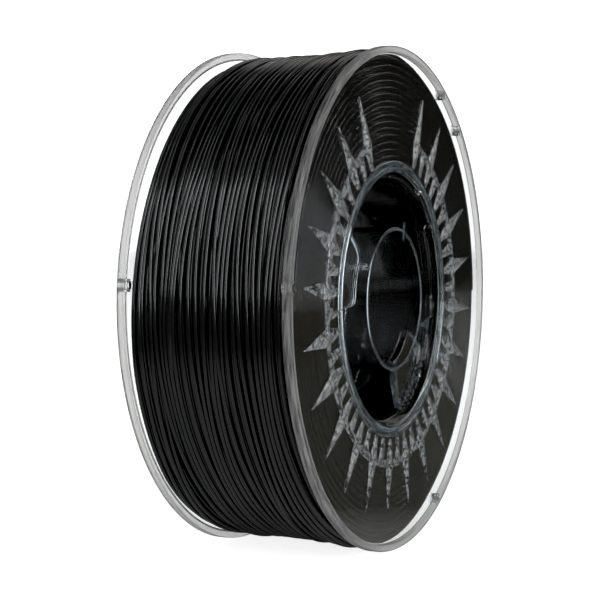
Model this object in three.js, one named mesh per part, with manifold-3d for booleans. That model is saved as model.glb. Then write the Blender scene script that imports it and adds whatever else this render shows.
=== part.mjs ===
// Filament spool: two clear snap-together mouldings on one axis, full of 1.75 mm filament.
// Millimetres, +Z up. The axis lies along Y through the origin, which is the middle of the
// spool's box. The front flange faces -Y. Each moulding is drawn once, in its own frame,
// with its outer face at y = -WIDTH / 2, and the rear one is the same moulding turned round.
import * as THREE from 'three';
import { mergeVertices } from 'three/addons/utils/BufferGeometryUtils.js';
import Module from 'manifold-3d';

// --- driving dimensions -------------------------------------------------------------------
const FLANGE_DIAMETER = 200;
const WIDTH = 70;
const FILAMENT = 1.75;

const RIM_RADIUS = FLANGE_DIAMETER / 2;
const RIM_INNER = 97.2;          // the rim stands proud of the flange disc
const DISC_FACE = 1.7;           // depths are measured inwards from the outer face
const FLANGE_DEPTH = 3.2;

const COLLAR_RADIUS = 55;        // raised ring round the drum's mouth
const COLLAR_FACE = 1.6;
const DRUM_INNER = 50.3;
const DRUM_OUTER = 52.4;
const LEDGE_INNER = 48.4;        // inside the drum, at the webs
const LEDGE_FACE = 6.1;
const LEDGE_BACK = 9.2;

const HUB_INNER = 27.2;          // the bore that a holder's rod or roller goes through
const HUB_OUTER = 28.7;
const HUB_FACE = 1.8;

const WEB_FACE = 6.7;
const WEB_BACK = 9.2;
const WEBS = { web_left: [138.5, 180.5], web_right: [-72.5, -31.5] };

const RAYS = 22;                 // tapering rays, with room for two more left empty on top
const RAY_PITCH = 15;
const FIRST_RAY = 112.5;
const RAY_TIP = 86;
const RAY_HALF_ANGLE = 2;
const BAND_OUTER = 66.8;         // the ribbed band that the rays grow from
const BAND_FACE = 0.5;
const BAND_BACK = DISC_FACE - 0.3;
const WINDOW_INNER = 57;
const WINDOW_OUTER = 64.8;
const WINDOW_HALF_ANGLE = 2.4;

const EYELET_ANGLES = [172.8, 58, 44, -66];
const EYELET_AT = 96.8;
const EYELET_OUTER = 2.3;
const EYELET_BORE = 1.7;
const EYELET_LENGTH = 4;

const START_SLOT = [31.5, 57.5]; // the slot in the drum that the filament starts from
const SLOT_FACE = 3.5;
const SLOT_BACK = 8;

const GAP = 0.3;                 // between solids that touch
const FACETS = 72;               // a multiple of four, so a facet can lie flat underneath
const HALF_FACET = 180 / FACETS;
const FRONT_TURN = 2.5;          // how far the front moulding is turned round the axis
const REAR_TURN = 168.2;

const WINDING = [                // [radius, depth], the section of the wound filament
    [93.8, 3.6], [93.9, 4.4], [97, 5.6], [99.2, 8.5], [99.2, 15], [97.8, 19],
    [97.4, 58], [95.4, 62.5], [93.9, WIDTH - 4.4], [93.8, WIDTH - 3.6],
    [DRUM_OUTER + 0.4, WIDTH - 3.6], [DRUM_OUTER + 0.4, 3.6],
];

// --- materials ----------------------------------------------------------------------------
const clear = () => new THREE.MeshStandardMaterial({ color: 0xc6ccd1, roughness: 0.12, metalness: 0 });
const black = () => new THREE.MeshStandardMaterial({ color: 0x141517, roughness: 0.35, metalness: 0 });

// --- helpers ------------------------------------------------------------------------------
const rad = THREE.MathUtils.degToRad;
const wasm = await Module();
wasm.setup();

// A point of a moulding: radius, angle from +X towards +Z, and depth from the outer face.
function at(radius, angle, depth) {
    return new THREE.Vector3(
        radius * Math.cos(rad(angle)), depth - WIDTH / 2, radius * Math.sin(rad(angle)));
}

// A ring round the axis from a closed section of [radius, depth] points.
function ring(section, facets = FACETS) {
    const points = section.map(([radius, depth]) => new THREE.Vector2(radius, depth - WIDTH / 2));
    points.push(points[0].clone());
    return new THREE.LatheGeometry(points, facets);
}

// A flat outline of [radius, angle] points, with holes, from one depth to another.
function plate(outline, from, to, windows = []) {
    const flat = ([radius, angle]) => new THREE.Vector2(
        radius * Math.cos(rad(angle)), radius * Math.sin(rad(angle)));
    const shape = new THREE.Shape(outline.map(flat));
    shape.holes = windows.map((window) => new THREE.Path(window.map(flat)));
    const geometry = new THREE.ExtrudeGeometry(shape, { depth: to - from, bevelEnabled: false });
    geometry.rotateX(Math.PI / 2);
    return geometry.translate(0, to - WIDTH / 2, 0);
}

// The outline of a piece of a ring, with a point every few degrees along its arcs.
function sector(inner, outer, [start, end]) {
    const steps = Math.max(2, Math.round(Math.abs(end - start) / 5));
    const angles = Array.from({ length: steps + 1 }, (_, i) => start + (end - start) * i / steps);
    return [...angles.map((angle) => [outer, angle]), ...angles.reverse().map((angle) => [inner, angle])];
}

function tube(points, radius, steps) {
    const curve = new THREE.CatmullRomCurve3(points);
    const section = new THREE.Shape(Array.from({ length: 8 }, (_, i) => new THREE.Vector2(
        radius * Math.cos(i * Math.PI / 4), radius * Math.sin(i * Math.PI / 4))));
    return new THREE.ExtrudeGeometry(section, { steps, extrudePath: curve, bevelEnabled: false });
}

function solid(geometry) {
    const bare = geometry.clone();
    bare.deleteAttribute('normal');
    bare.deleteAttribute('uv');
    const merged = mergeVertices(bare, 1e-4);
    return new wasm.Manifold(new wasm.Mesh({
        numProp: 3,
        vertProperties: new Float32Array(merged.attributes.position.array),
        triVerts: new Uint32Array(merged.index.array),
    }));
}

function cut(geometry, cutters) {
    const body = cutters.reduce((rest, cutter) => rest.subtract(solid(cutter)), solid(geometry));
    const mesh = body.getMesh();
    const result = new THREE.BufferGeometry();
    result.setAttribute('position', new THREE.BufferAttribute(mesh.vertProperties, 3));
    result.setIndex(new THREE.BufferAttribute(mesh.triVerts, 1));
    return result;
}

function add(group, name, geometry, material) {
    const mesh = new THREE.Mesh(geometry, material);
    mesh.name = name;
    group.add(mesh);
}

// --- one moulding -------------------------------------------------------------------------
// The disc with its rim, pierced by the eyelets.
function flange() {
    const disc = ring([
        [RIM_RADIUS, 0], [RIM_RADIUS, FLANGE_DEPTH], [COLLAR_RADIUS + GAP, FLANGE_DEPTH],
        [COLLAR_RADIUS + GAP, DISC_FACE], [RIM_INNER, DISC_FACE], [RIM_INNER, 0],
    ]);
    const holes = EYELET_ANGLES.map((angle) => {
        const hole = new THREE.CylinderGeometry(EYELET_OUTER + GAP, EYELET_OUTER + GAP, 10, 12);
        return hole.translate(...at(EYELET_AT, angle, 0).toArray());
    });
    return [disc, holes];
}

// A tube through the rim that holds the filament's loose end.
function eyelet(angle) {
    const section = [
        [EYELET_OUTER, 0], [EYELET_OUTER, EYELET_LENGTH], [EYELET_BORE, EYELET_LENGTH], [EYELET_BORE, 0],
    ];
    const centre = at(EYELET_AT, angle, 0);
    return ring(section, 12).translate(centre.x, 0, centre.z);
}

// The decoration on the disc: a band of ribs and windows, with rays that taper outwards.
function sunburst() {
    const outline = [];
    for (let i = 0; i < RAYS; i++) {
        const ray = FIRST_RAY + i * RAY_PITCH;
        outline.push([BAND_OUTER, ray - RAY_HALF_ANGLE], [RAY_TIP, ray], [BAND_OUTER, ray + RAY_HALF_ANGLE]);
        if (i < RAYS - 1) outline.push([BAND_OUTER, ray + RAY_PITCH / 2]);
    }
    const first = FIRST_RAY - RAY_HALF_ANGLE;
    const last = FIRST_RAY + (RAYS - 1) * RAY_PITCH + RAY_HALF_ANGLE;
    const arc = Math.round((last - first) / 5);
    for (let i = arc; i >= 0; i--) {
        outline.push([COLLAR_RADIUS + GAP, first + (last - first) * i / arc]);
    }
    const windows = [];
    for (let i = 0; i < 2 * (RAYS - 1); i++) {
        const middle = FIRST_RAY + (i + 0.5) * RAY_PITCH / 2;
        windows.push(sector(WINDOW_INNER, WINDOW_OUTER,
            [middle - WINDOW_HALF_ANGLE, middle + WINDOW_HALF_ANGLE]));
    }
    return plate(outline, BAND_FACE, BAND_BACK, windows);
}

// Half of the drum, from the collar to the joint at mid width, with the slot for the start.
function drumHalf() {
    const wall = ring([
        [COLLAR_RADIUS, COLLAR_FACE], [COLLAR_RADIUS, FLANGE_DEPTH], [DRUM_OUTER, FLANGE_DEPTH],
        [DRUM_OUTER, (WIDTH - GAP) / 2], [DRUM_INNER, (WIDTH - GAP) / 2], [DRUM_INNER, LEDGE_BACK],
        [LEDGE_INNER, LEDGE_BACK], [LEDGE_INNER, LEDGE_FACE], [DRUM_INNER, LEDGE_FACE],
        [DRUM_INNER, COLLAR_FACE],
    ]);
    return [wall, [plate(sector(LEDGE_INNER - 2, DRUM_OUTER + 2, START_SLOT), SLOT_FACE, SLOT_BACK)]];
}

function hubHalf() {
    return ring([
        [HUB_OUTER, HUB_FACE], [HUB_OUTER, (WIDTH - GAP) / 2],
        [HUB_INNER, (WIDTH - GAP) / 2], [HUB_INNER, HUB_FACE],
    ]);
}

// facetTurn brings a flat facet of the rim underneath, whatever the moulding's own turn.
function moulding(name, facetTurn) {
    const half = new THREE.Group();
    const [disc, eyeletHoles] = flange();
    const [wall, slot] = drumHalf();
    add(half, `${name}_flange`, cut(disc.rotateY(rad(facetTurn)), eyeletHoles), clear());
    add(half, `${name}_sunburst`, sunburst(), clear());
    add(half, `${name}_drum_half`, cut(wall.rotateY(rad(facetTurn)), slot), clear());
    add(half, `${name}_hub_half`, hubHalf().rotateY(rad(facetTurn)), clear());
    for (const [web, span] of Object.entries(WEBS)) {
        const outline = sector(HUB_OUTER + 2 * GAP, LEDGE_INNER - 2 * GAP, span);
        add(half, `${name}_${web}`, plate(outline, WEB_FACE, WEB_BACK), clear());
    }
    EYELET_ANGLES.forEach((angle, i) => add(half, `${name}_eyelet_${i + 1}`, eyelet(angle), clear()));
    return half;
}

// --- the filament -------------------------------------------------------------------------
// The first stretch, pulled in through the front drum's slot and lying along its inside.
function innerEnd() {
    const points = [at(51.9, 42, 4.6), at(51.2, 48, 4.6), at(50, 54, 4.5)];
    for (let angle = 60; angle <= 92; angle += 8) points.push(at(48.7, angle, 4.4));
    return tube(points, FILAMENT / 2, 20);
}

// The last stretch, lying on the winding and pushed through an eyelet of the rear flange.
function outerEnd() {
    const eyeletAngle = 180 + REAR_TURN - EYELET_ANGLES[2];
    return tube([
        at(98.6, eyeletAngle - 28, 57), at(98.5, eyeletAngle - 20, 57.3), at(98.3, eyeletAngle - 13, 58.6),
        at(97.8, eyeletAngle - 7, 60.6), at(97.2, eyeletAngle - 2.8, 63), at(EYELET_AT, eyeletAngle - 0.4, 65.6),
        at(EYELET_AT, eyeletAngle, 67.6), at(EYELET_AT, eyeletAngle, 69.5),
    ], FILAMENT / 2, 28);
}

// --- the spool ----------------------------------------------------------------------------
const spool = new THREE.Group();

const front = moulding('front', FRONT_TURN - HALF_FACET);
front.rotation.y = -rad(FRONT_TURN);
spool.add(front);

const rear = moulding('rear', HALF_FACET - REAR_TURN);
rear.rotation.z = Math.PI;
const turned = new THREE.Group();
turned.rotation.y = -rad(REAR_TURN);
turned.add(rear);
spool.add(turned);

add(spool, 'filament_winding', ring(WINDING).rotateY(rad(HALF_FACET)), black());
add(spool, 'filament_inner_end', innerEnd(), black());
add(spool, 'filament_outer_end', outerEnd(), black());

export default spool;
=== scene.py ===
import math

import bmesh
import bpy
import numpy as np
from mathutils import Matrix, Vector


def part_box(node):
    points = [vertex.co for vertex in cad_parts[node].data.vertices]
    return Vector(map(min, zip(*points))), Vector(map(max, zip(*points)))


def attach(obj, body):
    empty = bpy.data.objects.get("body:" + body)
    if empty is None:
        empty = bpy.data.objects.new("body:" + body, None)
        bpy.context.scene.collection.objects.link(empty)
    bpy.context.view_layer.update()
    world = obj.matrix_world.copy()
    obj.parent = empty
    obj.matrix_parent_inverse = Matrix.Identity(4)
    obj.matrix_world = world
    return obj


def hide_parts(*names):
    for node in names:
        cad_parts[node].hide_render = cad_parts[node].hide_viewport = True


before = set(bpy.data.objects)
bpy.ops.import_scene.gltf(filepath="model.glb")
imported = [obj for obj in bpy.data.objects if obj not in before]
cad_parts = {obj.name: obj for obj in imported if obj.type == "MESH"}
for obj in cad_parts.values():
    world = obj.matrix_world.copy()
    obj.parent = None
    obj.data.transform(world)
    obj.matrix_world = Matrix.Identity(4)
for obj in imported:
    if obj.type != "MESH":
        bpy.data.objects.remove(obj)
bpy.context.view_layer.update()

MM = 0.001

# ---- sizes -------------------------------------------------------------------------------
WIDTH = (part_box("rear_flange")[1].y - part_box("front_flange")[0].y) / MM
RIM_OUTER = 99.9
RIM_INNER = 97.2
RIM_DEPTH = 3.3
DISC_FACE = 2.1
COLLAR_OUTER = 55.2
COLLAR_FACE = 1.65
COLLAR_GROOVE = ((52.4, COLLAR_FACE), (52.6, 1.95), (53.1, 1.95), (53.3, COLLAR_FACE))
DRUM_INNER = 50.3
DRUM_OUTER = 52.4
LEDGE_INNER = 48.4
LEDGE_FACE = 6.1
LEDGE_BACK = 9.2
HUB_OUTER = 28.7
HUB_INNER = 27.2
HUB_FACE = 1.8
HALF = WIDTH / 2 - 0.1
# The drum stops this far inside the flange's collar hole, so no two faces share a plane.
JOINED = 0.06
# A cut starts this far outside the face.
CUT_THROUGH = -1

WEB_FACE = 6.7
WEB_BACK = 9.2
# The angles where each web starts and ends, and the bead round its edge.
WEBS = ((138.5, 180.5), (-72.5, -31.5))
WEB_BEAD = 0.42
WEB_BEAD_SINK = 0.1

RAYS = 22
PITCH = 15
FIRST_RAY = 112.5
RAY_ROOT = 55.9
RAY_WIDEST = 65.4
RAY_TIP = 86
RAY_HALF_WIDTH = 3.65
# Stations of a ray and of a rib: (radius, half width, ridge depth).
RAY_STATIONS = (
    (RAY_ROOT - 0.2, 1.2, 1.6), (RAY_WIDEST, RAY_HALF_WIDTH, 0.95), (RAY_TIP, 0.1, 1.85))
RIB_STATIONS = ((55.6, 1.4, 1.65), (64.6, 2.7, 1.3))
RELIEF_STEP = 1.95
RELIEF_FOOT = 2.7
BAND_INNER = 63.9
BAND_OUTER = 66.9
BAND_FACE = 1.55
GROOVE_INNER = 65.5
GROOVE_OUTER = 65.85

EYELETS = (172.8, 58, 44, -66)
EYELET_AT = 96.9
EYELET_OUTER = 2.35
EYELET_BORE = 1.7
EYELET_LENGTH = 4

START_SLOT = (31.5, 57.5)
SLOT_FACE = 2.8
SLOT_BACK = 8.2
SLOT_LIP = 0.7

WALL_RIBS = (27.5, 8.5, -5.5, -21.5)
TEETH = 11
FIRST_TOOTH = -74
TOOTH_PITCH = 4.2

# How far each moulding is turned round the axis from its own frame.
FRONT_TURN = 2.5
REAR_TURN = 168.2

PLASTIC_IOR = 1.58

STRAND = 1.75
WINDING_START = 4.6
WINDING_END = 65.4
# The winding's outer radius at each depth. It is fuller beside the rear flange at one angle.
PROFILE_DEPTH = (3.6, 4.4, 5.6, 8.5, 15.0, 19.0, 58.0, 62.5, 65.6, 66.4)
PROFILE_RADIUS = (93.8, 93.9, 97.0, 99.2, 99.2, 97.8, 97.4, 95.4, 93.9, 93.8)
FULLEST = 99.1
REAR_FILL = 5.3
REAR_FILL_AT = 209
REAR_FILL_SPREAD = 41
# Neighbouring turns never come closer than this.
CLOSEST = STRAND * 0.97
FIRST_LAYER_RADIUS = 53.75
# Every second turn stands against the flange, and those between them a little deeper.
END_TURN_PITCH = 2.7
RAISED_TURN_DEPTH = 4.45
SUNKEN_TURN_DEPTH = 5.4
CORE_FACE = 5.3

ROUND = 360
CREASE = 32

# Faces get one of these slots of a moulding's materials.
CLEAR_FACE, RELIEF_FACE, RIM_FACE, SATIN_FACE = range(4)

# ---- stage, in metres, degrees and, for the lens, millimetres --------------------------------
FLOOR_REACH = 6
DARK_SPOT = (0.75, -0.4)
DOME_RADIUS = 8
BACKDROP_GLOW = 1.5
LIGHT_DISTANCE = 2.5
CAMERA_DISTANCE = 0.66565
CAMERA_AZIMUTH = -65.065
CAMERA_ELEVATION = 2.666
AIM_RIGHT = -0.7117
AIM_UP = -0.0908
FOCAL_LENGTH = 98.05
BLACK_LEVEL = 0.0025

rng = np.random.default_rng(12)


def rad(angle):
    return angle * math.pi / 180


def at(radius, angle, depth):
    return (radius * math.cos(rad(angle)), depth - WIDTH / 2, radius * math.sin(rad(angle)))


# ---- meshes ------------------------------------------------------------------------------
def new_object(name, verts, faces):
    """A mesh object in metres, from points in millimetres and faces of any size."""
    mesh = bpy.data.meshes.new(name)
    mesh.from_pydata((np.asarray(verts, float) * MM).tolist(), [], faces)
    mesh.update()
    obj = bpy.data.objects.new(name, mesh)
    bpy.context.scene.collection.objects.link(obj)
    work = bmesh.new()
    work.from_mesh(mesh)
    if work.calc_volume(signed=True) < 0:
        bmesh.ops.reverse_faces(work, faces=work.faces)
        work.to_mesh(mesh)
    work.free()
    mesh.shade_smooth()
    return obj


def joined(name, pieces):
    """Several closed shapes that don't touch, as one mesh."""
    verts, faces = [], []
    for piece_verts, piece_faces in pieces:
        start = len(verts)
        verts.extend(piece_verts)
        faces.extend([[start + i for i in face] for face in piece_faces])
    return new_object(name, verts, faces)


def fillet(corners, steps=4):
    """A closed section with its corners rounded: (u, v, radius) of each corner."""
    section = []
    count = len(corners)
    for i, (u, v, radius) in enumerate(corners):
        here = Vector((u, v))
        before = Vector(corners[i - 1][:2]) - here
        after = Vector(corners[(i + 1) % count][:2]) - here
        if radius <= 0:
            section.append((u, v))
            continue
        angle = before.angle(after)
        cut = min(radius / math.tan(angle / 2), before.length * 0.49, after.length * 0.49)
        reach = cut * math.tan(angle / 2)
        middle = here + (before.normalized() + after.normalized()).normalized() * (
            reach / math.sin(angle / 2))
        start = here + before.normalized() * cut - middle
        end = here + after.normalized() * cut - middle
        turn = start.angle_signed(end)
        for k in range(steps + 1):
            part = start.copy()
            part.rotate(Matrix.Rotation(-turn * k / steps, 2))
            section.append(tuple(middle + part))
    return section


def lathe(section, steps=ROUND):
    """A ring round the axis from a closed section of (radius, depth) points."""
    count = len(section)
    verts = [at(r, 360 * i / steps, d) for i in range(steps) for r, d in section]
    faces = []
    for i in range(steps):
        for k in range(count):
            a, b = i * count, (i + 1) % steps * count
            faces.append((a + k, b + k, b + (k + 1) % count, a + (k + 1) % count))
    return verts, faces


def prism(outline, front, back, bevel=0.0):
    """A plate from a flat outline of (x, z) points, with its edges bevelled."""
    flat = [Vector(p) for p in outline]
    count = len(flat)
    area = sum(flat[i - 1].x * flat[i].y - flat[i].x * flat[i - 1].y for i in range(count))
    side = 1 if area > 0 else -1
    inset = []
    for i in range(count):
        a = (flat[i] - flat[i - 1]).normalized()
        b = (flat[(i + 1) % count] - flat[i]).normalized()
        n = Vector((-a.y - b.y, a.x + b.x)).normalized() * side
        inset.append(flat[i] + n * bevel)
    if bevel:
        levels = ((inset, front), (flat, front + bevel), (flat, back - bevel), (inset, back))
    else:
        levels = ((flat, front), (flat, back))
    verts = [(p.x, d - WIDTH / 2, p.y) for points, d in levels for p in points]
    faces = []
    for level in range(len(levels) - 1):
        for k in range(count):
            a = level * count + k
            b = level * count + (k + 1) % count
            faces.append((a, b, b + count, a + count))
    faces.append(tuple(range(count - 1, -1, -1)))
    top = (len(levels) - 1) * count
    faces.append(tuple(range(top, top + count)))
    return verts, faces


def polar(radius, angle):
    return (radius * math.cos(rad(angle)), radius * math.sin(rad(angle)))


def arc(radius, start, end, step=1.5):
    steps = max(2, round(abs(end - start) / step))
    return [polar(radius, start + (end - start) * k / steps) for k in range(steps + 1)]


def sector(inner, outer, start, end):
    return arc(outer, start, end) + arc(inner, end, start)


def wall_plate(outline, inner, outer):
    """A plate bent round the drum, from a closed outline of (angle, depth) points."""
    count = len(outline)
    verts = [at(r, a, d) for r in (inner, outer) for a, d in outline]
    faces = [(k, (k + 1) % count, count + (k + 1) % count, count + k) for k in range(count)]
    faces.append(tuple(range(count - 1, -1, -1)))
    faces.append(tuple(range(count, 2 * count)))
    return verts, faces


def combine(base, others):
    """Unites or cuts closed shapes with the base, and leaves one closed mesh."""
    for tool, operation in others:
        step = base.modifiers.new(operation, "BOOLEAN")
        step.operation = operation
        step.solver = "MANIFOLD"
        step.object = tool
    graph = bpy.context.evaluated_depsgraph_get()
    result = bpy.data.meshes.new_from_object(base.evaluated_get(graph))
    base.modifiers.clear()
    base.data = result
    for tool, _ in others:
        bpy.data.objects.remove(tool)
    return base


def finish_surface(obj):
    """Smooth shading that stays flat on faces and sharp at edges."""
    obj.data.shade_smooth()
    obj.data.set_sharp_from_angle(angle=rad(CREASE))
    obj.modifiers.new("weighted", "WEIGHTED_NORMAL").keep_sharp = True
    graph = bpy.context.evaluated_depsgraph_get()
    result = bpy.data.meshes.new_from_object(obj.evaluated_get(graph))
    obj.modifiers.clear()
    obj.data = result
    return obj


# ---- the mouldings -----------------------------------------------------------------------
def relief_shape(angle, stations):
    """A roofed strip that stands on the disc. A station is (radius, half width, ridge depth)."""
    turn = rad(angle)
    along = Vector((math.cos(turn), math.sin(turn)))
    across = Vector((-along.y, along.x))
    verts = []
    for radius, half_width, ridge in stations:
        for side, depth in ((1, RELIEF_FOOT), (1, RELIEF_STEP), (0, ridge), (-1, RELIEF_STEP),
                            (-1, RELIEF_FOOT)):
            p = along * radius + across * half_width * side
            verts.append((p.x, depth - WIDTH / 2, p.y))
    faces = [(4, 3, 2, 1, 0)]
    for k in range(len(stations) - 1):
        here, ahead = 5 * k, 5 * k + 5
        faces += [(here + i, here + (i + 1) % 5, ahead + (i + 1) % 5, ahead + i) for i in range(5)]
    end = 5 * (len(stations) - 1)
    faces.append(tuple(end + i for i in range(5)))
    return verts, faces


def flange(name):
    disc = new_object(name, *lathe(fillet([
        (RIM_OUTER, 0, 0.45), (RIM_OUTER, RIM_DEPTH, 0.45), (COLLAR_OUTER, RIM_DEPTH, 0),
        (COLLAR_OUTER, DISC_FACE, 0), (RIM_INNER, DISC_FACE, 0.5), (RIM_INNER, 0, 0.4)])))
    first, last = FIRST_RAY, FIRST_RAY + (RAYS - 1) * PITCH
    rays = joined("rays", [relief_shape(FIRST_RAY + i * PITCH, RAY_STATIONS) for i in range(RAYS)])
    ribs = joined("ribs", [
        relief_shape(FIRST_RAY + (i + 0.5) * PITCH, RIB_STATIONS) for i in range(RAYS - 1)])
    band = joined("band", [
        prism(sector(BAND_INNER, BAND_OUTER, first - 1, last + 1), BAND_FACE, RELIEF_FOOT, 0.12)])
    groove = joined("groove", [
        prism(sector(GROOVE_INNER, GROOVE_OUTER, first - 3, last + 3), CUT_THROUGH, RELIEF_STEP)])
    tube = fillet([(EYELET_OUTER, 0.05, 0.15), (EYELET_OUTER, EYELET_LENGTH, 0.25),
                   (EYELET_BORE, EYELET_LENGTH, 0.15), (EYELET_BORE, 0.05, 0.1)], 3)
    holes, tubes = [], []
    for angle in EYELETS:
        x, _, z = at(EYELET_AT, angle, 0)
        bore = [(x + EYELET_BORE * math.cos(rad(10 * k)), z + EYELET_BORE * math.sin(rad(10 * k)))
                for k in range(36)]
        holes.append(prism(bore, CUT_THROUGH, 9))
        verts, faces = lathe(tube, 36)
        tubes.append(([(px + x, py, pz + z) for px, py, pz in verts], faces))
    return combine(disc, [
        (band, "UNION"), (rays, "UNION"), (ribs, "UNION"), (groove, "DIFFERENCE"),
        (joined("holes", holes), "DIFFERENCE"), (joined("tubes", tubes), "UNION")])


def stadium(start, end, front, back):
    """A slot outline of (angle, depth) with round ends, on the drum's wall."""
    steps = 10
    middle, reach = (front + back) / 2, (back - front) / 2
    swing = reach / (DRUM_INNER * math.pi / 180)
    turns = [math.pi * k / steps for k in range(steps + 1)]
    outline = [(end - swing + swing * math.sin(t), middle - reach * math.cos(t)) for t in turns]
    outline += [(start + swing - swing * math.sin(t), middle + reach * math.cos(t)) for t in turns]
    dense = []
    for k, (a, d) in enumerate(outline):
        a2, d2 = outline[(k + 1) % len(outline)]
        parts = max(1, round(abs(a2 - a) / 1.5))
        dense += [(a + (a2 - a) * j / parts, d + (d2 - d) * j / parts) for j in range(parts)]
    return dense


def tube_shape(path, radius, sides=8):
    """A closed round bar along a path of points that keeps one depth."""
    points = [Vector(p) for p in path]
    last = len(points) - 1
    verts = []
    for k, here in enumerate(points):
        along = (points[min(k + 1, last)] - points[max(k - 1, 0)]).normalized()
        side = along.cross(Vector((0, 1, 0))).normalized()
        for i in range(sides):
            turn = 2 * math.pi * i / sides
            rise = Vector((0, radius * math.sin(turn), 0))
            verts.append(tuple(here + side * radius * math.cos(turn) + rise))
    faces = []
    for k in range(last):
        near, far = k * sides, (k + 1) * sides
        faces += [(near + i, near + (i + 1) % sides, far + (i + 1) % sides, far + i)
                  for i in range(sides)]
    faces.append(tuple(range(sides - 1, -1, -1)))
    faces.append(tuple(last * sides + i for i in range(sides)))
    return verts, faces


def wall_block(start, end, front, back, inner, outer):
    """A block on the drum's wall between two angles and two depths."""
    return wall_plate([(start, front), (end, front), (end, back), (start, back)], inner, outer)


def drum(name):
    joint, buried = COLLAR_OUTER - JOINED, DRUM_OUTER - 0.6
    wall = new_object(name, *lathe(fillet([
        (joint, COLLAR_FACE, 0.8), (joint, RIM_DEPTH, 0), (DRUM_OUTER, RIM_DEPTH, 0.3),
        (DRUM_OUTER, HALF, 0.2), (DRUM_INNER, HALF, 0.2), (DRUM_INNER, LEDGE_BACK, 0.5),
        (LEDGE_INNER, LEDGE_BACK, 0.3), (LEDGE_INNER, LEDGE_FACE, 0.3),
        (DRUM_INNER, LEDGE_FACE, 0.5), (DRUM_INNER, COLLAR_FACE, 1.3),
        *((r, depth, 0.15 if depth == COLLAR_FACE else 0.1) for r, depth in COLLAR_GROOVE)])))
    hub = joined("hub", [lathe(fillet([
        (HUB_OUTER, HUB_FACE, 0.35), (HUB_OUTER, HALF, 0.2), (HUB_INNER, HALF, 0.2),
        (HUB_INNER, HUB_FACE, 0.35)]), 240)])
    webs, beads = [], []
    for start, end in WEBS:
        outline = arc(LEDGE_INNER + 1, start, end) + arc(HUB_OUTER - 0.6, end, start)
        webs.append(prism(outline, WEB_FACE, WEB_BACK, 0.35))
        path = [polar(r, start + 1) for r in (46, 41, 36)]
        path += [polar(31.5, start + 2), polar(29.4, start + 5)]
        path += arc(28.9, start + 9, end - 6, 3)
        path += [polar(29.6, end - 2.5), polar(32, end - 0.6)]
        path += [polar(r, end - 0.4) for r in (36, 41, 46)]
        for depth in (WEB_FACE + WEB_BEAD_SINK, WEB_BACK - WEB_BEAD_SINK):
            beads.append(tube_shape([(x, depth - WIDTH / 2, z) for x, z in path], WEB_BEAD))
    gate = [polar(24.6, 69.1), polar(31.8, 70.6), polar(31.8, 71.3), polar(24.6, 70)]
    start, end = START_SLOT
    lip = wall_plate(stadium(start - 1, end + 1, SLOT_FACE - SLOT_LIP, SLOT_BACK + SLOT_LIP),
                     DRUM_INNER - 1.1, DRUM_OUTER - 0.5)
    slot = wall_plate(stadium(start, end, SLOT_FACE, SLOT_BACK), LEDGE_INNER - 3, DRUM_OUTER + 2)
    ribs = [wall_block(angle - 0.9, angle + 0.9, 1.9, 6.6, DRUM_INNER - 0.8, buried)
            for angle in WALL_RIBS]
    teeth = []
    for k in range(TEETH):
        angle = FIRST_TOOTH + TOOTH_PITCH * k
        teeth.append(wall_block(angle - 1.1, angle + 1.1, 5.4, 6.9, LEDGE_INNER - 0.4, buried))
    gusset = wall_plate([(-14.2, 5.6), (-21.2, 5.6), (-18.3, 10.2)], LEDGE_INNER - 0.6, buried)
    webs, beads = joined("webs", webs), joined("beads", beads)
    gate = joined("gate", [prism(gate, HUB_FACE - 0.3, HUB_FACE + 0.4)])
    lip, slot = joined("lip", [lip]), joined("slot", [slot])
    ribs, teeth = joined("wall_ribs", ribs), joined("teeth", teeth)
    return combine(wall, [
        (hub, "UNION"), (webs, "UNION"), (beads, "UNION"), (gate, "UNION"), (lip, "UNION"),
        (slot, "DIFFERENCE"), (ribs, "UNION"), (teeth, "UNION"),
        (joined("gusset", [gusset]), "UNION")])


def frost(obj):
    """Gives the rim, the raised decoration, and the collar and thin edges their own surface."""
    mesh = obj.data
    count = len(mesh.polygons)
    centre = np.zeros(count * 3)
    normal = np.zeros(count * 3)
    mesh.polygons.foreach_get("center", centre)
    mesh.polygons.foreach_get("normal", normal)
    centre = centre.reshape(-1, 3) / MM
    facing = abs(normal.reshape(-1, 3)[:, 1])
    radius = np.hypot(centre[:, 0], centre[:, 2])
    depth = centre[:, 1] + WIDTH / 2
    rim = (radius > 96.9) & (depth < RIM_DEPTH - 0.05)
    relief = (radius > 55.2) & (radius < 90) & (depth < DISC_FACE - 0.03)
    satin = (radius > 50.4) & (radius <= 55.2) & (depth < DISC_FACE)
    satin |= (radius < 32) & (depth < 2.3)
    satin |= (radius > 28.8) & (radius < 48) & (depth > 6) & (depth < 9.7) & (facing < 0.95)
    kind = np.select([rim, relief, satin], [RIM_FACE, RELIEF_FACE, SATIN_FACE], CLEAR_FACE)
    mesh.polygons.foreach_set("material_index", kind.astype(np.int32))
    return obj


def place(obj, which):
    """Turns a moulding from its own frame to its place on the spool."""
    if which == "front":
        turn = Matrix.Rotation(-rad(FRONT_TURN), 4, "Y")
    else:
        turn = Matrix.Rotation(-rad(REAR_TURN), 4, "Y") @ Matrix.Rotation(math.pi, 4, "Z")
    obj.data.transform(turn)
    return obj


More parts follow.
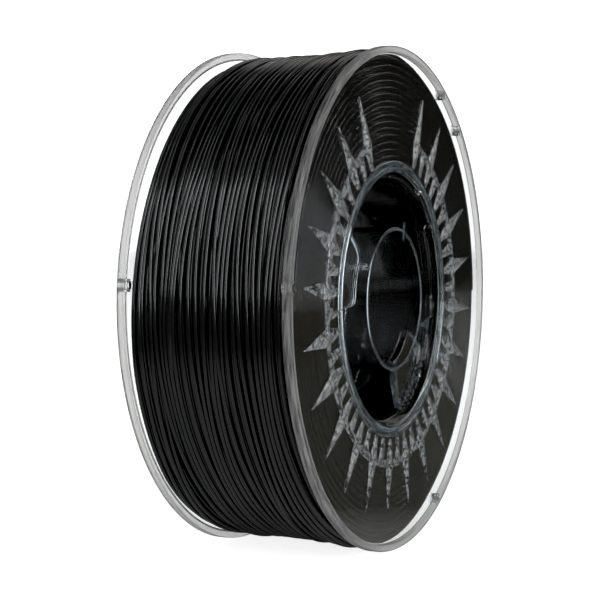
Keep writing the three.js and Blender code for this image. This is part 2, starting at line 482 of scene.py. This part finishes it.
# ---- the filament ------------------------------------------------------------------------
def strands(name, paths, sides=8, closed=False):
    """Round strands along paths, an array of (strand, point, xyz) in millimetres."""
    paths = np.asarray(paths, float)
    lines, points, _ = paths.shape
    if closed:
        ahead, behind = np.roll(paths, -1, 1), np.roll(paths, 1, 1)
    else:
        ahead = np.concatenate([paths[:, 1:], 2 * paths[:, -1:] - paths[:, -2:-1]], 1)
        behind = np.concatenate([2 * paths[:, :1] - paths[:, 1:2], paths[:, :-1]], 1)
    along = ahead - behind
    along /= np.linalg.norm(along, axis=2, keepdims=True)
    outward = paths * np.array([1.0, 0.0, 1.0])
    outward -= (outward * along).sum(2, keepdims=True) * along
    outward /= np.linalg.norm(outward, axis=2, keepdims=True)
    across = np.cross(along, outward)
    turn = np.arange(sides) * 2 * np.pi / sides
    ring = (outward[:, :, None] * np.cos(turn)[None, None, :, None]
            + across[:, :, None] * np.sin(turn)[None, None, :, None])
    verts = (paths[:, :, None] + STRAND / 2 * ring).reshape(-1, 3)
    index = np.arange(lines * points * sides).reshape(lines, points, sides)
    near = index if closed else index[:, :-1]
    far = np.roll(index, -1, 1) if closed else index[:, 1:]
    quads = np.stack([near, far, np.roll(far, -1, 2), np.roll(near, -1, 2)], -1).reshape(-1, 4)
    mesh = bpy.data.meshes.new(name)
    corners = quads.reshape(-1)
    sizes = np.full(len(quads), 4)
    if not closed:
        caps = np.concatenate([index[:, 0], index[:, -1, ::-1]])
        corners = np.concatenate([corners, caps.reshape(-1)])
        sizes = np.concatenate([sizes, np.full(len(caps), sides)])
    mesh.vertices.add(len(verts))
    mesh.vertices.foreach_set("co", (verts * MM).astype(np.float32).reshape(-1))
    mesh.loops.add(len(corners))
    mesh.loops.foreach_set("vertex_index", corners.astype(np.int32))
    mesh.polygons.add(len(sizes))
    starts = np.concatenate([[0], np.cumsum(sizes)[:-1]])
    mesh.polygons.foreach_set("loop_start", starts.astype(np.int32))
    mesh.update(calc_edges=True)
    mesh.validate()
    mesh.shade_smooth()
    obj = bpy.data.objects.new(name, mesh)
    bpy.context.scene.collection.objects.link(obj)
    return obj


def wave(angle, cycles, size):
    """A smooth closed wander round the spool, seeded."""
    total = np.zeros_like(angle)
    for n in range(1, cycles + 1):
        total += rng.normal() * np.cos(n * angle + rng.uniform(0, 2 * np.pi)) / n ** 0.7
    return size * total


def drift(count, reach, size):
    """A smooth open wander along a strand, seeded."""
    values = np.convolve(rng.normal(size=count + reach), np.hanning(reach), "same")
    values = values[reach // 2:reach // 2 + count]
    return size * values / values.std()


def rear_fill(angle):
    """The winding is fuller beside the rear flange on one side. The angle is in radians."""
    off = (np.degrees(angle) - REAR_FILL_AT + 180) % 360 - 180
    return REAR_FILL * np.exp(-(off / REAR_FILL_SPREAD) ** 2)


def surface(depth, angle):
    """The winding's outer radius."""
    level = np.interp(depth, PROFILE_DEPTH, PROFILE_RADIUS)
    return np.minimum(level + rear_fill(angle) * np.clip((depth - 56) / 5, 0, 1), FULLEST)


def helix(turns, first, last, sink, sway, wander, lift, points=120):
    """One wound layer as a single strand. Its turns sway together and wander apart."""
    count = turns * points + 1
    angle = np.arange(count) * 2 * np.pi / points
    depth = np.linspace(first, last, count)
    inside = np.clip(np.minimum(depth - min(first, last), max(first, last) - depth) / 5, 0, 1)
    shift = drift(count, 55, wander)
    for n in range(1, 5):
        k = rng.uniform(0.15, 0.4) * rng.choice((-1, 1))
        size = sway * rng.normal()
        shift += size * np.cos(n * angle + k * depth + rng.uniform(0, 2 * np.pi)) / n ** 0.5
    depth = depth + shift * inside
    way = 1 if last > first else -1
    depth *= way
    for k in range(points, count):
        depth[k] = max(depth[k], depth[k - points] + CLOSEST)
    limit = max(first * way, last * way)
    depth[-points:] = np.minimum(depth[-points:], limit)
    for k in range(count - points - 1, -1, -1):
        depth[k] = min(depth[k], depth[k + points] - CLOSEST)
    depth *= way
    radius = surface(depth, angle) - STRAND / 2 - sink + drift(count, 45, lift)
    return np.stack([radius * np.cos(angle), depth - WIDTH / 2, radius * np.sin(angle)], 1)[None]


def stray(start, end, first, last, points=90):
    """A stretch that rides over its neighbours and dives back between them at both ends."""
    part = np.linspace(0, 1, points)
    angle = np.radians(start + (end - start) * part)
    ease = part * part * (3 - 2 * part)
    depth = first + (last - first) * ease + 0.25 * np.sin(7 * part + start)
    rise = np.clip(np.minimum(part, 1 - part) / 0.22, 0, 1)
    rise = rise * rise * (3 - 2 * rise)
    radius = surface(depth, angle) - STRAND / 2 - 1.2 + 1.75 * rise
    return np.stack([radius * np.cos(angle), depth - WIDTH / 2, radius * np.sin(angle)], 1)


def full_rings(radii, depths, points=120, wobble=0.2, sink=0.12):
    """Closed turns, one for each radius and depth."""
    angle = np.arange(points) * 2 * np.pi / points
    paths = []
    for radius, depth in zip(radii, depths):
        r = radius + wave(angle, 4, wobble)
        d = depth + abs(wave(angle, 3, sink))
        paths.append(np.stack([r * np.cos(angle), d - WIDTH / 2, r * np.sin(angle)], 1))
    return np.array(paths)


def spline(points, steps=10):
    """A smooth path through points."""
    p = np.array([at(*point) for point in points])
    p = np.concatenate([2 * p[:1] - p[1:2], p, 2 * p[-1:] - p[-2:-1]])
    t = np.linspace(0, 1, steps, endpoint=False)[:, None]
    path = [0.5 * (2 * p[i] + (p[i + 1] - p[i - 1]) * t
                   + (2 * p[i - 1] - 5 * p[i] + 4 * p[i + 1] - p[i + 2]) * t ** 2
                   + (3 * p[i] - p[i - 1] - 3 * p[i + 1] + p[i + 2]) * t ** 3)
            for i in range(1, len(p) - 2)]
    return np.concatenate(path + [p[-2:-1]])[None]


# ---- materials ---------------------------------------------------------------------------
def material(name):
    mat = bpy.data.materials.new(name)
    mat.use_nodes = True
    nodes, links = mat.node_tree.nodes, mat.node_tree.links
    return mat, nodes, links, nodes["Principled BSDF"]


def noise(nodes, links, vector, scale, detail=3.0, rough=0.55):
    node = nodes.new("ShaderNodeTexNoise")
    node.inputs["Scale"].default_value = scale
    node.inputs["Detail"].default_value = detail
    node.inputs["Roughness"].default_value = rough
    links.new(vector, node.inputs["Vector"])
    return node.outputs["Fac"]


def spread(nodes, links, value, low, high, from_low=0.3, from_high=0.7):
    node = nodes.new("ShaderNodeMapRange")
    node.inputs["From Min"].default_value = from_low
    node.inputs["From Max"].default_value = from_high
    node.inputs["To Min"].default_value = low
    node.inputs["To Max"].default_value = high
    links.new(value, node.inputs["Value"])
    return node.outputs["Result"]


def bump(nodes, links, height, strength, distance, previous=None):
    node = nodes.new("ShaderNodeBump")
    node.inputs["Strength"].default_value = strength
    node.inputs["Distance"].default_value = distance
    links.new(height, node.inputs["Height"])
    if previous is not None:
        links.new(previous, node.inputs["Normal"])
    return node.outputs["Normal"]


def clear_plastic():
    mat, nodes, links, shader = material("clear_polystyrene")
    shader.inputs["Base Color"].default_value = (0.955, 0.972, 0.985, 1)
    shader.inputs["Transmission Weight"].default_value = 1.0
    shader.inputs["IOR"].default_value = PLASTIC_IOR
    place_at = nodes.new("ShaderNodeTexCoord").outputs["Object"]
    polish = noise(nodes, links, place_at, 90)
    links.new(spread(nodes, links, polish, 0.01, 0.05), shader.inputs["Roughness"])
    waves = bump(nodes, links, noise(nodes, links, place_at, 60, 1.0), 0.12, 0.0005)
    fine = bump(nodes, links, noise(nodes, links, place_at, 900, 4.0), 0.06, 0.0001, waves)
    links.new(fine, shader.inputs["Normal"])
    return mat


def round_streaks(nodes, links, place_at):
    """Noise that is drawn out round the spool's axis."""
    split = nodes.new("ShaderNodeSeparateXYZ")
    links.new(place_at, split.inputs[0])
    turn = nodes.new("ShaderNodeMath")
    turn.operation = "ARCTAN2"
    links.new(split.outputs["Z"], turn.inputs[0])
    links.new(split.outputs["X"], turn.inputs[1])
    flat = nodes.new("ShaderNodeVectorMath")
    flat.operation = "MULTIPLY"
    flat.inputs[1].default_value = (1, 0, 1)
    links.new(place_at, flat.inputs[0])
    reach = nodes.new("ShaderNodeVectorMath")
    reach.operation = "LENGTH"
    links.new(flat.outputs[0], reach.inputs[0])
    around = nodes.new("ShaderNodeCombineXYZ")
    for socket, value, factor in (("X", reach.outputs["Value"], 1000), ("Y", turn.outputs[0], 6),
                                  ("Z", split.outputs["Y"], 1000)):
        scaled = nodes.new("ShaderNodeMath")
        scaled.operation = "MULTIPLY"
        scaled.inputs[1].default_value = factor
        links.new(value, scaled.inputs[0])
        links.new(scaled.outputs[0], around.inputs[socket])
    return noise(nodes, links, around.outputs[0], 1.6, 4.0, 0.6)


def hazy_plastic(name, tint, clear_share, rough, mottled, height):
    """The same plastic where the mould is less polished, so a share of the light is scattered."""
    mat, nodes, links, shader = material(name)
    shader.inputs["Base Color"].default_value = tint
    shader.inputs["IOR"].default_value = PLASTIC_IOR
    place_at = nodes.new("ShaderNodeTexCoord").outputs["Object"]
    streaks = round_streaks(nodes, links, place_at)
    mottle = noise(nodes, links, place_at, 650, 2.0)
    pattern = mottle if mottled else streaks
    links.new(spread(nodes, links, streaks, *rough), shader.inputs["Roughness"])
    share = spread(nodes, links, pattern, *clear_share, 0.42, 0.58)
    links.new(share, shader.inputs["Transmission Weight"])
    lines = bump(nodes, links, streaks, 0.2, 0.0003)
    links.new(bump(nodes, links, mottle, height, 0.0004, lines), shader.inputs["Normal"])
    return mat


def black_filament(name, ior):
    mat, nodes, links, shader = material(name)
    shader.inputs["IOR"].default_value = ior
    place_at = nodes.new("ShaderNodeTexCoord").outputs["Object"]
    tint = nodes.new("ShaderNodeValToRGB")
    tint.color_ramp.elements[0].color = (0.0015, 0.0017, 0.0018, 1)
    tint.color_ramp.elements[1].color = (0.003, 0.0032, 0.0034, 1)
    links.new(noise(nodes, links, place_at, 60), tint.inputs["Fac"])
    links.new(tint.outputs["Color"], shader.inputs["Base Color"])
    sheen = noise(nodes, links, place_at, 140)
    links.new(spread(nodes, links, sheen, 0.1, 0.18), shader.inputs["Roughness"])
    grain = noise(nodes, links, place_at, 2500, 4.0)
    links.new(bump(nodes, links, grain, 0.15, 0.00005), shader.inputs["Normal"])
    return mat


CLEAR = clear_plastic()
RELIEF = hazy_plastic(
    "mottled_polystyrene", (0.9, 0.94, 0.97, 1), (1.0, 0.84), (0.05, 0.15), True, 1.0)
# The rim's grey tint is painted shade: it stands in for the darker look the thick clear rim gets
# from refraction at its edges.
RIM = hazy_plastic(
    "rim_polystyrene_painted_shade", (0.55, 0.55, 0.54, 1), (1.0, 0.84), (0.3, 0.5), False, 0.03)
SATIN = hazy_plastic(
    "satin_polystyrene", (0.72, 0.86, 0.96, 1), (1.0, 0.93), (0.1, 0.2), False, 0.05)
MOULDED = (CLEAR, RELIEF, RIM, SATIN)
BLACK = black_filament("black_filament", 1.5)
# A copy of the filament with weaker reflections for the first layer, seen through the drum wall.
# It partly stands for the strands' contact with the wall and is partly painted shade that keeps
# the inside of the drum dark.
PRESSED_AND_SHADED = black_filament("filament_against_drum_painted_shade", 1.22)


def dress(obj, mat, slot_name, *nodes_replaced):
    """Gives a piece its materials and its body, and hides the CAD nodes it replaces. Its slot name
    is not used.
    """
    index = np.zeros(len(obj.data.polygons), np.int32)
    obj.data.polygons.foreach_get("material_index", index)
    obj.data.materials.clear()
    for one in mat if isinstance(mat, tuple) else (mat,):
        obj.data.materials.append(one)
    obj.data.polygons.foreach_set("material_index", index)
    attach(obj, "root")
    if nodes_replaced:
        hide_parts(*nodes_replaced)
    return obj


# ---- build -------------------------------------------------------------------------------
for side in ("front", "rear"):
    disc = finish_surface(place(frost(flange(f"{side}_flange_moulding")), side))
    dress(disc, MOULDED, "clear_plastic", f"{side}_flange", f"{side}_sunburst",
          *[f"{side}_eyelet_{i}" for i in (1, 2, 3, 4)])
    barrel = finish_surface(place(frost(drum(f"{side}_drum_moulding")), side))
    dress(barrel, MOULDED, "clear_plastic", f"{side}_drum_half", f"{side}_hub_half",
          f"{side}_web_left", f"{side}_web_right")

under = strands("filament_under_layer", helix(34, 65.3, 4.7, 1.25, 0.35, 0.1, 0.06))
top = strands(
    "filament_top_layer", helix(24, WINDING_START, WINDING_END, 0.1, 1.0, 0.5, 0.16), sides=10)
over = strands("filament_crossing_turns", np.array([
    stray(95, 205, 43, 50), stray(120, 235, 34, 29), stray(60, 150, 20, 27),
    stray(-60, 60, 50, 42), stray(215, 330, 22, 30), stray(20, 110, 55, 60),
    stray(150, 290, 56, 51), stray(300, 420, 30, 36)]), sides=10)
across = np.linspace(WINDING_START, WIDTH - WINDING_START, 36)
first_radii = np.full(36, FIRST_LAYER_RADIUS)
first_layer = strands(
    "filament_first_layer", full_rings(first_radii, across, 90, 0.03, 0), sides=6, closed=True)
raised, sunken = np.arange(53.9, 93, END_TURN_PITCH), np.arange(55.25, 92, END_TURN_PITCH)
layers = np.concatenate([raised, sunken])
end_depths = np.concatenate(
    [np.full(len(raised), RAISED_TURN_DEPTH), np.full(len(sunken), SUNKEN_TURN_DEPTH)])
ends_front = strands("filament_front_turns", full_rings(layers, end_depths), closed=True)
rear_paths = full_rings(layers, end_depths) * [1, -1, 1]
reach = np.hypot(rear_paths[..., 0], rear_paths[..., 2])
grow = rear_fill(np.arctan2(rear_paths[..., 2], rear_paths[..., 0]))
grow = grow * np.clip((reach - 76) / 17, 0, 1)
rear_paths = rear_paths * (1 + (grow / reach)[..., None] * [1, 0, 1])
ends_rear = strands("filament_rear_turns", rear_paths, closed=True)
core = new_object("filament_core", *lathe(
    [(54.2, CORE_FACE), (92.2, CORE_FACE), (95.6, 9), (94.6, 20), (94.4, 58),
     (92.2, WIDTH - CORE_FACE), (54.2, WIDTH - CORE_FACE)], 120))
inner_end = strands("filament_start", spline(
    [(52.6, 30, 5.2), (52.3, 36, 4.9), (51.9, 42, 4.6), (51.2, 48, 4.6), (50, 54, 4.5),
     (48.9, 60, 4.4)] + [(48.7, angle, 4.4) for angle in (68, 76, 84, 92)]), sides=12)
exit_angle = 180 + REAR_TURN - EYELETS[2]
outer_end = strands("filament_loose_end", spline([
    (96.4, exit_angle - 44, 56.2), (97.6, exit_angle - 36, 56.6), (98.6, exit_angle - 28, 57),
    (98.5, exit_angle - 20, 57.3), (98.3, exit_angle - 13, 58.6), (97.8, exit_angle - 7, 60.6),
    (97.2, exit_angle - 2.8, 63), (EYELET_AT, exit_angle - 0.4, 65.6),
    (EYELET_AT, exit_angle, 67.6), (EYELET_AT, exit_angle, 69.6)]), sides=12)

dress(top, BLACK, "filament", "filament_winding")
for piece in (under, over, ends_front, ends_rear, core):
    dress(piece, BLACK, "filament")
dress(first_layer, PRESSED_AND_SHADED, "filament")
dress(inner_end, BLACK, "filament", "filament_inner_end")
dress(outer_end, BLACK, "filament", "filament_outer_end")

# ---- floor, backdrop, light and camera ------------------------------------------------------
# The camera sees a white floor and backdrop, also through the plastic. Reflections see a dull
# floor, which is darkest where the front flange mirrors it, and no backdrop.
floor_z = -RIM_OUTER * MM
floor_mesh = bpy.data.meshes.new("floor")
floor_mesh.from_pydata([(x * FLOOR_REACH, y * FLOOR_REACH, floor_z)
                        for x, y in ((-1, -1), (1, -1), (1, 1), (-1, 1))], [], [(0, 1, 2, 3)])
floor = bpy.data.objects.new("floor", floor_mesh)
bpy.context.scene.collection.objects.link(floor)
mat, nodes, links, shader = material("pale_floor")
shader.inputs["Base Color"].default_value = (0.85, 0.85, 0.85, 1)
shader.inputs["Roughness"].default_value = 0.8
shader.inputs["Emission Color"].default_value = (1, 1, 1, 1)
place_at = nodes.new("ShaderNodeTexCoord").outputs["Object"]
reach = nodes.new("ShaderNodeVectorMath")
reach.operation = "LENGTH"
links.new(place_at, reach.inputs[0])
far = reach.outputs["Value"]
links.new(spread(nodes, links, far, 0.85, 1.0, 0.15, 0.6), shader.inputs["Emission Strength"])
path = nodes.new("ShaderNodeLightPath")
dull = nodes.new("ShaderNodeBsdfDiffuse")
side = nodes.new("ShaderNodeVectorMath")
side.operation = "DISTANCE"
side.inputs[1].default_value = (*DARK_SPOT, floor_z)
links.new(place_at, side.inputs[0])
sheet = nodes.new("ShaderNodeMath")
sheet.operation = "MULTIPLY"
links.new(spread(nodes, links, far, 1, 0, 0.22, 0.36), sheet.inputs[0])
links.new(spread(nodes, links, side.outputs["Value"], 0, 1, 0.74, 0.9), sheet.inputs[1])
fall = nodes.new("ShaderNodeValToRGB")
fall.color_ramp.elements[0].color = (0.105, 0.1, 0.08, 1)
fall.color_ramp.elements[1].color = (0.7, 0.7, 0.67, 1)
links.new(sheet.outputs[0], fall.inputs["Fac"])
links.new(fall.outputs["Color"], dull.inputs["Color"])
blend = nodes.new("ShaderNodeMixShader")
links.new(path.outputs["Glossy Depth"], blend.inputs["Fac"])
links.new(shader.outputs[0], blend.inputs[1])
links.new(dull.outputs[0], blend.inputs[2])
links.new(blend.outputs[0], nodes["Material Output"].inputs["Surface"])
floor.data.materials.append(mat)

bpy.ops.mesh.primitive_uv_sphere_add(segments=48, ring_count=24, radius=DOME_RADIUS)
dome = bpy.context.object
dome.name = "backdrop"
mat, nodes, links, shader = material("white_backdrop")
nodes.remove(shader)
glow = nodes.new("ShaderNodeEmission")
glow.inputs["Strength"].default_value = BACKDROP_GLOW
clear = nodes.new("ShaderNodeBsdfTransparent")
path = nodes.new("ShaderNodeLightPath")
bounces = nodes.new("ShaderNodeMath")
bounces.operation = "ADD"
links.new(path.outputs["Glossy Depth"], bounces.inputs[0])
links.new(path.outputs["Diffuse Depth"], bounces.inputs[1])
blend = nodes.new("ShaderNodeMixShader")
links.new(bounces.outputs[0], blend.inputs["Fac"])
links.new(glow.outputs[0], blend.inputs[1])
links.new(clear.outputs[0], blend.inputs[2])
links.new(blend.outputs[0], nodes["Material Output"].inputs["Surface"])
mat.cycles.emission_sampling = "NONE"
dome.data.materials.append(mat)
dome.visible_diffuse = False
dome.visible_glossy = False
dome.visible_shadow = False

world = bpy.data.worlds.new("studio")
bpy.context.scene.world = world
world.use_nodes = True
world.node_tree.nodes["Background"].inputs["Color"].default_value = (1.0, 0.98, 0.9, 1)
world.node_tree.nodes["Background"].inputs["Strength"].default_value = 0.02


def direction(azimuth, elevation):
    """Azimuth 0 is in front of the front flange and 270 is to its left."""
    side, rise = rad(azimuth), rad(elevation)
    return Vector((math.sin(side) * math.cos(rise), -math.cos(side) * math.cos(rise),
                   math.sin(rise)))


def softbox(name, azimuth, elevation, width, height, radiance, tint=(1, 1, 1)):
    """A soft light that faces the spool."""
    away = direction(azimuth, elevation)
    light = bpy.data.lights.new(name, "AREA")
    light.shape = "RECTANGLE"
    light.size, light.size_y = width, height
    light.energy = radiance * math.pi * width * height
    light.color = tint
    obj = bpy.data.objects.new(name, light)
    obj.location = away * LIGHT_DISTANCE
    obj.rotation_euler = (-away).to_track_quat("-Z", "Y").to_euler()
    bpy.context.scene.collection.objects.link(obj)


softbox("key_left", 268, 26, 0.4, 2.2, 8)
softbox("front_left", 328, 18, 0.6, 2.4, 13, (0.92, 0.97, 1.0))
softbox("front_right", 38, 14, 1.0, 1.4, 2.0, (1.0, 0.98, 0.94))
softbox("high_right", 72, 36, 0.7, 1.7, 1.3, (1.0, 0.97, 0.92))
softbox("overhead_left", 305, 57, 0.3, 1.2, 5)
softbox("overhead_middle", 300, 82, 0.3, 1.2, 2.4)
softbox("overhead_right", 122, 68, 0.3, 1.3, 1.4)
softbox("right_back", 118, 38, 0.3, 1.4, 0.8)
softbox("back_fill", 210, 35, 1.3, 1.3, 0.6)

back = direction(CAMERA_AZIMUTH, CAMERA_ELEVATION)
right = (-back).cross(Vector((0, 0, 1))).normalized()
up = right.cross(-back)
look = (-back + right * math.tan(rad(AIM_RIGHT)) + up * math.tan(rad(AIM_UP))).normalized()
lens = bpy.data.cameras.new("camera")
lens.sensor_width = 36
lens.lens = FOCAL_LENGTH
lens.clip_end = 50
camera = bpy.data.objects.new("camera", lens)
camera.location = back * CAMERA_DISTANCE
camera.rotation_euler = look.to_track_quat("-Z", "Y").to_euler()
bpy.context.scene.collection.objects.link(camera)
bpy.context.scene.camera = camera
view = bpy.context.scene.view_settings
view.view_transform = "Standard"
view.use_curve_mapping = True
view.curve_mapping.black_level = (BLACK_LEVEL,) * 3
view.curve_mapping.update()
